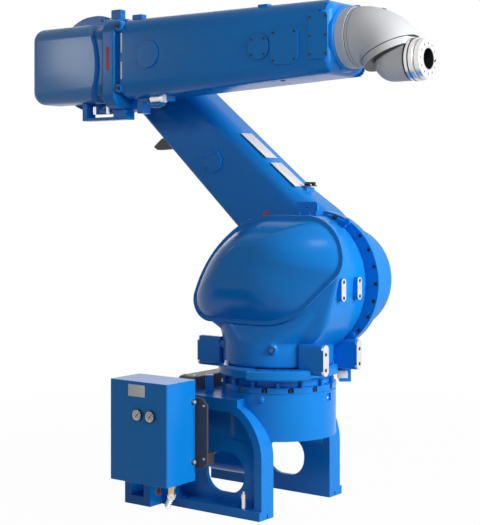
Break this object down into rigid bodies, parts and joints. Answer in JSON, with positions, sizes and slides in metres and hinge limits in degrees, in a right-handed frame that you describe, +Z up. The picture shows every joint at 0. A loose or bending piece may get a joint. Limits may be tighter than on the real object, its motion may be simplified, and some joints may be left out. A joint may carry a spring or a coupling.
{
  "type": "industrial robot arm",
  "caption": "Floor-standing six-axis painting robot arm with arched base, swivel head, offset lower arm, long forearm and hollow wrist.",
  "frame": {"origin": "on the floor under the swivel axis", "axes": "+X along the forearm towards the tool, +Y to the lower arm's side, +Z up"},
  "size_m": [1.74, 0.8285, 1.823],
  "materials": {
    "blue_paint": "semi-gloss saturated blue enamel",
    "wrist_paint": "semi-gloss light grey enamel",
    "bright_steel": "machined bright steel",
    "plate_grey": "dull dark grey",
    "box_grey": "dull grey",
    "gauge_black": "black plastic bezel",
    "brass": "plain brass fitting"
  },
  "bodies": {
    "base": {"base_casting": "blue_paint", "bolt_ring": "blue_paint", "connector_box": "box_grey", "fixed_stop": "blue_paint", "anchor_pin": "bright_steel", "air_cabinet": "blue_paint", "cabinet_plate": "plate_grey", "gauge_left": "gauge_black", "gauge_right": "gauge_black", "air_fitting": "brass"},
    "swivel_head": {"head_flange": "blue_paint", "head_casting": "blue_paint", "side_cover_rim": "blue_paint", "side_cover": "blue_paint", "shoulder_ring": "blue_paint", "shoulder_stop": "blue_paint", "tag_plate": "blue_paint", "moving_stop": "blue_paint", "front_pad_near": "blue_paint", "front_pad_far": "blue_paint", "lift_block_front_near": "blue_paint", "lift_block_front_far": "blue_paint", "lift_block_rear_near": "blue_paint", "lift_block_rear_far": "blue_paint"},
    "lower_arm": {"lower_arm": "blue_paint", "arm_cap": "blue_paint", "arm_bracket": "blue_paint"},
    "forearm": {"elbow_ring": "blue_paint", "elbow_housing": "blue_paint", "elbow_collar": "blue_paint", "rear_cover": "blue_paint", "forearm_tube": "blue_paint", "forearm_nose": "blue_paint", "tube_cover_rear": "blue_paint", "tube_cover_front": "blue_paint", "square_cover": "blue_paint", "front_plate": "blue_paint", "collar_lug": "blue_paint", "tube_lug": "blue_paint", "under_plate": "blue_paint", "under_bracket": "blue_paint", "wrist_ring": "wrist_paint"},
    "wrist_roll": {"wrist_roll": "wrist_paint"},
    "wrist_bend": {"wrist_bend": "wrist_paint"},
    "tool_flange": {"tool_flange": "bright_steel"}
  },
  "joints": [
    {"name": "swivel", "type": "hinge", "parent": "base", "child": "swivel_head", "pos_m": [0, 0, 0.471], "axis": [0, 0, 1], "range_deg": [-150, 150]},
    {"name": "shoulder", "type": "hinge", "parent": "swivel_head", "child": "lower_arm", "pos_m": [0.105, 0.15, 0.795], "axis": [0, 1, 0], "range_deg": [-13.5, 111.5]},
    {"name": "elbow", "type": "hinge", "parent": "lower_arm", "child": "forearm", "pos_m": [-0.94, 0.1, 1.627], "axis": [0, -1, 0], "range_deg": [-15, 130]},
    {"name": "roll", "type": "hinge", "parent": "forearm", "child": "wrist_roll", "pos_m": [0.338, 0, 1.64], "axis": [1, 0, 0], "continuous": true},
    {"name": "bend", "type": "hinge", "parent": "wrist_roll", "child": "wrist_bend", "pos_m": [0.4597, 0, 1.5892], "axis": [0.4226, 0, -0.9063], "continuous": true},
    {"name": "turn", "type": "hinge", "parent": "wrist_bend", "child": "tool_flange", "pos_m": [0.55, 0, 1.551], "axis": [1, 0, 0], "continuous": true}
  ]
}
